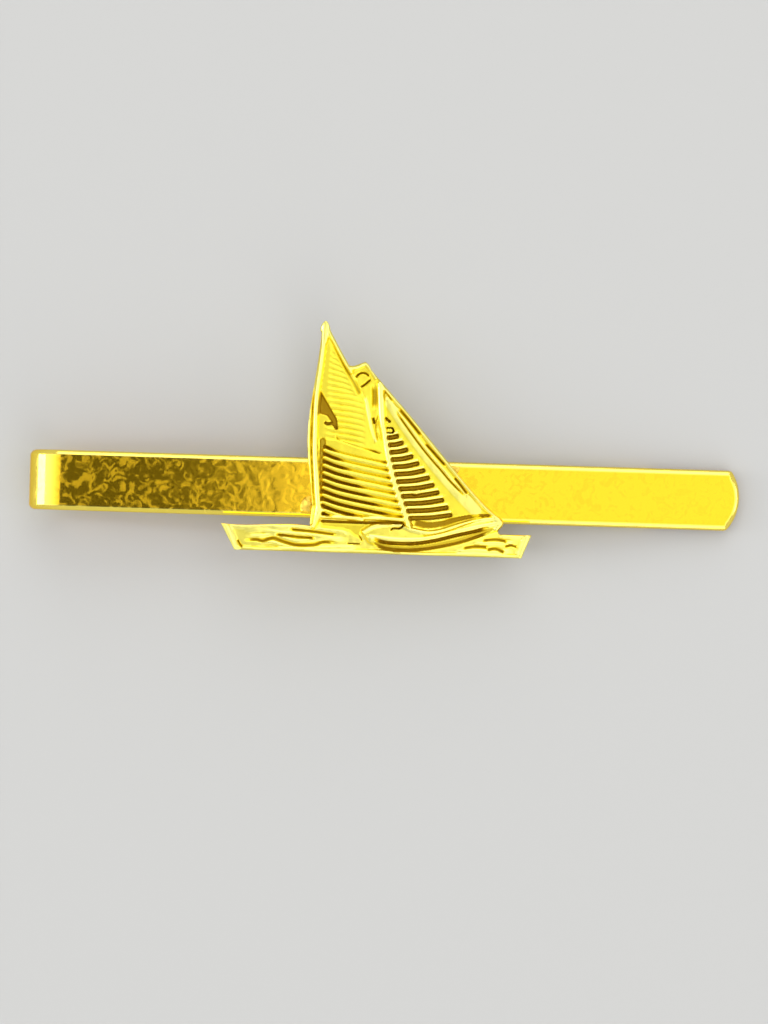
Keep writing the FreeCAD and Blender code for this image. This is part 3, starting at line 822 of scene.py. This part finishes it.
def spars(relief):
    """Leech rope, gaff, mast and boom: the proudest lines of the relief."""
    relief.ridge([(6.98, 15.2), (6.84, 12.8), (6.76, 9.8), (6.78, 8.2), (6.94, 6.2), (7.14, 3.8)], 0.34,
                 SPAR_CREST - 0.12)
    relief.groove([(7.02, 12.6), (6.96, 9.8), (7.0, 7.8), (7.14, 5.8), (7.28, 4.0)], 0.12, SAIL_LEVEL - 0.1,
                  fade=0.15, dirt_and_shade=0.7)
    relief.ridge([(7.84, 18.5), (7.82, 17.8), (7.76, 16.6)], 1.5, SPAR_CREST, 0.5, rub_and_light=1.0)
    relief.ridge(LEECH, 0.46, SPAR_CREST, 0.66, rub_and_light=1.0)
    relief.ridge([(7.74, 3.3), (7.56, 2.7), (7.36, 2.04)], 0.9, SPAR_CREST - 0.06, 0.5, rub_and_light=1.0)
    relief.ridge(GAFF[:-1], 0.38, SPAR_CREST - 0.06, rub_and_light=0.9)
    relief.ridge(MAST, 0.68, SPAR_CREST + 0.04, rub_and_light=1.0)
    relief.groove([(8.0, 2.46), (11.0, 2.44), (14.3, 2.5)], 0.24, SLOT_FLOOR + 0.1, wall=0.6)
    # The recess under the boom is painted darker: painted shade.
    relief.area([(7.9, 2.3), (11.6, 2.3), (11.1, 1.85), (10.95, 1.3), (10.6, 1.4), (10.2, 1.75), (9.6, 1.95),
                 (8.0, 2.05)], GROOVE_FLOOR + 0.04, 0.3, tone=-0.4)
    relief.ridge([(8.0, BOOM_V), (14.4, BOOM_V)], 0.36, SPAR_CREST - 0.04, rub_and_light=0.9)


def yacht_relief(points, outline):
    """The relief over the grid points, drawn from the lowest forms to the proudest."""
    relief = Relief(points, outline, SEA_LEVEL)
    for feature in (sea, sails, hull, mainsail_ribs, tear_and_masthead, jib_slots, luff_and_stay, spars):
        feature(relief)
    return relief


def make_yacht():
    """The struck yacht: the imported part's outline, filled with points that take the relief's heights."""
    outline = back_outline("yacht_emblem", YACHT_POINTS) - YACHT_CORNER
    points, faces, rim = filled(outline, CELL)
    relief = yacht_relief(points, outline)
    turn = np.clip(1 - relief.rim / EDGE_ROUND, 0, 1)
    height = relief.height - EDGE_ROUND * (1 - np.sqrt(1 - turn * turn))
    wavy = [noise.noise(Vector((u * 0.8, v * 0.8, 0.5))) for u, v in points]
    rough = [noise.noise(Vector((u * 2.4, v * 2.4, 4.5))) for u, v in points]
    top = height + WAVE_HEIGHT * np.array(wavy) + ROUGH_HEIGHT * np.array(rough)
    drawn, faces = plate_on(points, faces, rim, top)
    drawn = drawn + np.array([*YACHT_CORNER, YACHT_BACK])
    piece = make_piece("yacht_relief", drawn, faces, "front", ["yacht_emblem"], sharp=50)
    set_tone(piece, relief.tone)
    return piece


# ---- Solder ----------------------------------------------------------------------------------------
SOLDER_CELL = 0.1
FILLET_HEIGHT = 0.34         # a fillet's middle, before its lumps
FILLET_RISE = 0.6            # how far from its outline it gets there
FILLET_LUMPS = 0.7           # the lumps' share of its height
FILLET_LIMITS = (0.03, 0.42)     # its least and greatest height


def make_solder():
    """The solder layer under the yacht and the two lumpy fillets that ran out beside it."""
    outline = back_outline("solder_joint", SOLDER_POINTS)
    points, faces, rim = filled(outline, SOLDER_CELL)
    covered = inside(points, back_outline("yacht_emblem", YACHT_POINTS))
    from_rim = nearest(points, outline, closed=True)[0]
    lumps = np.array([noise.noise(Vector((x * 2.6, y * 2.6, 9.2))) for x, y in points])
    fillet = FILLET_HEIGHT * np.sqrt(np.clip(from_rim / FILLET_RISE, 0, 1)) * (1 + FILLET_LUMPS * lumps)
    height = np.where(covered, YACHT_BACK, np.clip(fillet, *FILLET_LIMITS))
    drawn, faces = plate_on(points, faces, rim, height)
    return make_piece("solder_run", drawn, faces, "front", ["solder_joint"], sharp=60)


# ---- Materials -------------------------------------------------------------------------------------
EDGE_GOLD = (1.0, 0.78, 0.42)    # what the gilding reflects of a glancing light
GILT = (1.0, 0.62, 0.025)
# Pale strip colour for the bevels and the loop's outside: wear, and a painted highlight.
RUBBED_HIGHLIGHT_GILT = (1.0, 0.8, 0.13)
DULL = (0.42, 0.23, 0.012)
DULLING = 0.07               # how far a dull patch takes that colour
# Emblem colours: the pale one is wear and a painted highlight on crests, the dark one dirt and painted shade
# in recesses.
STRUCK = (0.92, 0.77, 0.055)
STRUCK_RUBBED_LIT = (0.97, 0.9, 0.22)
STRUCK_DIRT_SHADE = (0.36, 0.21, 0.008)
SOLDER_DARK = (0.6, 0.38, 0.03)
SOLDER_PALE = (1.0, 0.72, 0.13)


class Nodes:
    """A metal's node tree, with short ways to add to it. Noise scales are per millimetre."""

    def __init__(self, name):
        self.material = bpy.data.materials.new(name)
        self.material.use_nodes = True
        self.tree = self.material.node_tree
        self.shader = self.tree.nodes["Principled BSDF"]
        self.shader.inputs["Metallic"].default_value = 1.0
        self.shader.inputs["Specular Tint"].default_value = (*EDGE_GOLD, 1.0)
        place = self.tree.nodes.new("ShaderNodeTexCoord")
        self.place = self.math("MULTIPLY", place.outputs["Object"], (1 / MM,) * 3, vector=True)

    def link(self, a, b):
        self.tree.links.new(a, b)

    def math(self, operation, a, b, vector=False):
        node = self.tree.nodes.new("ShaderNodeVectorMath" if vector else "ShaderNodeMath")
        node.operation = operation
        for socket, value in zip(node.inputs, (a, b)):
            if isinstance(value, bpy.types.NodeSocket):
                self.link(value, socket)
            else:
                socket.default_value = value
        return node.outputs[0]

    def noise(self, scale, detail, roughness, distortion=0.0):
        node = self.tree.nodes.new("ShaderNodeTexNoise")
        node.inputs["Scale"].default_value = scale
        node.inputs["Detail"].default_value = detail
        node.inputs["Roughness"].default_value = roughness
        node.inputs["Distortion"].default_value = distortion
        self.link(self.place, node.inputs["Vector"])
        return node.outputs["Fac"]

    def tone(self):
        """Each point's tone (wear and dirt, with painted highlight and painted shade), as stored by set_tone.
        """
        node = self.tree.nodes.new("ShaderNodeAttribute")
        node.attribute_name = "tone"
        return node.outputs["Fac"]

    def ramp(self, value, low, high, at_low=0.0, at_high=1.0):
        node = self.tree.nodes.new("ShaderNodeMapRange")
        node.interpolation_type = "SMOOTHSTEP"
        for name, number in (("From Min", low), ("From Max", high), ("To Min", at_low), ("To Max", at_high)):
            node.inputs[name].default_value = number
        self.link(value, node.inputs["Value"])
        return node.outputs["Result"]

    def mix(self, share, a, b):
        node = self.tree.nodes.new("ShaderNodeMix")
        node.data_type = "RGBA"
        self.link(share, node.inputs[0])
        for socket, value in ((node.inputs[6], a), (node.inputs[7], b)):
            if isinstance(value, bpy.types.NodeSocket):
                self.link(value, socket)
            else:
                socket.default_value = (*value, 1.0)
        return node.outputs[2]

    def bump(self, height, distance):
        node = self.tree.nodes.new("ShaderNodeBump")
        node.inputs["Distance"].default_value = distance
        self.link(height, node.inputs["Height"])
        self.link(node.outputs["Normal"], self.shader.inputs["Normal"])

    def finish(self, colour, roughness):
        self.link(colour, self.shader.inputs["Base Color"])
        self.link(roughness, self.shader.inputs["Roughness"])
        return self.material


def strip_gilt():
    """Rolled gilt strip: bright, a little uneven, with curling patches of dulled metal."""
    nodes = Nodes("gilt_strip")
    mottle = nodes.noise(1.1, 3, 0.55, distortion=1.6)
    dull = nodes.ramp(mottle, 0.5, 0.62)
    colour = nodes.mix(nodes.math("MULTIPLY", dull, DULLING), GILT, DULL)
    # Bevels and the loop's outside are painted paler by their tone: wear, and a painted highlight.
    colour = nodes.mix(nodes.tone(), colour, RUBBED_HIGHLIGHT_GILT)
    roughness = nodes.ramp(mottle, 0.46, 0.64, 0.11, 0.24)
    nodes.bump(nodes.noise(1.1, 1, 0.4, distortion=0.5), 0.000009)
    return nodes.finish(colour, roughness)


def emblem_gilt():
    """Struck gilt: crests painted pale and bright, as wear and a painted highlight; recesses painted dull and
    dark, as dirt and painted shade.
    """
    nodes = Nodes("gilt_emblem")
    tone = nodes.tone()
    rubbed_lit_share = nodes.ramp(tone, 0.2, 1.0)
    dirt_shade_share = nodes.ramp(tone, -0.15, -0.8)
    colour = nodes.mix(rubbed_lit_share, STRUCK, STRUCK_RUBBED_LIT)
    colour = nodes.mix(dirt_shade_share, colour, STRUCK_DIRT_SHADE)
    roughness = nodes.ramp(tone, -0.6, 0.4, 0.5, 0.32)
    nodes.bump(nodes.noise(2.5, 4, 0.6), 0.00001)
    return nodes.finish(colour, roughness)


def solder_gilt():
    """Solder under the same gilding, paler and rougher."""
    nodes = Nodes("solder")
    grain = nodes.noise(4.0, 5, 0.7)
    colour = nodes.mix(grain, SOLDER_DARK, SOLDER_PALE)
    nodes.bump(nodes.noise(5.0, 5, 0.7), 0.00003)
    return nodes.finish(colour, nodes.ramp(grain, 0.3, 0.7, 0.3, 0.5))


def paper():
    """The floor's matt grey."""
    material = bpy.data.materials.new("paper")
    material.use_nodes = True
    shader = material.node_tree.nodes["Principled BSDF"]
    shader.inputs["Base Color"].default_value = (0.5, 0.5, 0.49, 1.0)
    shader.inputs["Roughness"].default_value = 0.9
    return material


# ---- Building the pieces ---------------------------------------------------------------------------
strip = make_strip()
yacht = make_yacht()
gilt = strip_gilt()
for piece in strip:
    piece.data.materials.append(gilt)
yacht.data.materials.append(emblem_gilt())
solder = make_solder()
solder.data.materials.append(solder_gilt())


# ---- Floor, light and camera -----------------------------------------------------------------------
FLOOR_SIZE = 2.4
LIGHT_DISTANCE = 2.4
PANELS = [
    # name, axis, angle, spread, width, radiance, shift
    ("right_softbox", "X", 21.4, 39.2, 2.8, 1.25, 0.0),
    ("right_low", "X", 72, 24, 1.2, 2.5, 0.0),
    ("left_window_high", "X", -32.5, 48, 1.4, 1.2, 0.0),
    ("left_window_low", "X", -73, 30, 0.8, 5.5, 0.0),
    ("far_low", "Y", 75, 22, 2.0, 1.5, 0.2),
    ("far_high", "Y", 50, 28, 2.0, 1.8, 0.2),
    ("near_low", "Y", -75, 22, 1.8, 1.4, 1.1),
    ("near_high", "Y", -50, 28, 1.8, 1.4, 1.1),
]
CAMERA_ROLL = math.radians(1.8)
CAMERA_DISTANCE = 0.16
CAMERA_OFFSET = (0.18, -1.76)    # millimetres to the right of the front frame's origin and up from it
CAMERA_LENS = 94.3


def make_floor():
    """The floor the clip lies on, which isn't part of it."""
    bpy.ops.mesh.primitive_plane_add(size=FLOOR_SIZE)
    floor = bpy.context.object
    floor.name = "floor"
    floor.data.materials.append(paper())


def area_light(name, x, y, z, size_x, size_y, radiance, aim=(0, 0, 0)):
    """A softbox facing aim, with its first side in the plane of X and the way it faces. In metres."""
    light = bpy.data.lights.new(name, "AREA")
    light.shape = "RECTANGLE"
    light.size, light.size_y = size_x, size_y
    light.energy = radiance * math.pi * size_x * size_y
    lamp = bpy.data.objects.new(name, light)
    lamp.location = (x, y, z)
    back = (Vector((x, y, z)) - Vector(aim)).normalized()
    along = (Vector((1, 0, 0)) - back * back.x).normalized()
    lamp.rotation_euler = Matrix((along, back.cross(along), back)).transposed().to_euler()
    bpy.context.scene.collection.objects.link(lamp)


def panel(name, axis, angle, spread, width, radiance, shift):
    """A panel on the arc from straight up towards X or Y, covering spread degrees of it about angle."""
    out = LIGHT_DISTANCE * math.sin(math.radians(angle))
    up = LIGHT_DISTANCE * math.cos(math.radians(angle))
    length = 2 * LIGHT_DISTANCE * math.tan(math.radians(spread / 2))
    if axis == "X":
        area_light(name, out, 0, up, length, width, radiance)
    else:
        area_light(name, shift, out, up, width, length, radiance, aim=(shift, 0, 0))


def studio_world():
    """A grey sky that goes dark towards straight up."""
    world = bpy.data.worlds.new("studio")
    world.use_nodes = True
    tree = world.node_tree
    place = tree.nodes.new("ShaderNodeTexCoord")
    parts = tree.nodes.new("ShaderNodeSeparateXYZ")
    grade = tree.nodes.new("ShaderNodeMapRange")
    for name, number in (("From Min", 0.8), ("From Max", 0.97), ("To Min", 0.7), ("To Max", 0.1)):
        grade.inputs[name].default_value = number
    tree.links.new(place.outputs["Generated"], parts.inputs["Vector"])
    tree.links.new(parts.outputs["Z"], grade.inputs["Value"])
    tree.links.new(grade.outputs["Result"], tree.nodes["Background"].inputs["Color"])
    return world


def aim_camera():
    """Square to the front face, with the bar falling slightly to the right across the view."""
    right = AXIS_X * math.cos(CAMERA_ROLL) + AXIS_Y * math.sin(CAMERA_ROLL)
    up = AXIS_Y * math.cos(CAMERA_ROLL) - AXIS_X * math.sin(CAMERA_ROLL)
    offset = right * (CAMERA_OFFSET[0] * MM) + up * (CAMERA_OFFSET[1] * MM)
    data = bpy.data.cameras.new("camera")
    data.sensor_fit = "HORIZONTAL"
    data.sensor_width = 36
    data.lens = CAMERA_LENS
    data.clip_start = 0.01
    camera = bpy.data.objects.new("camera", data)
    camera.location = ORIGIN + offset + FRONT_NORMAL * CAMERA_DISTANCE
    camera.rotation_euler = Matrix((right, up, FRONT_NORMAL)).transposed().to_euler()
    bpy.context.scene.collection.objects.link(camera)
    bpy.context.scene.camera = camera


make_floor()
for setting in PANELS:
    panel(*setting)
bpy.context.scene.world = studio_world()
aim_camera()
bpy.context.scene.view_settings.view_transform = "Standard"
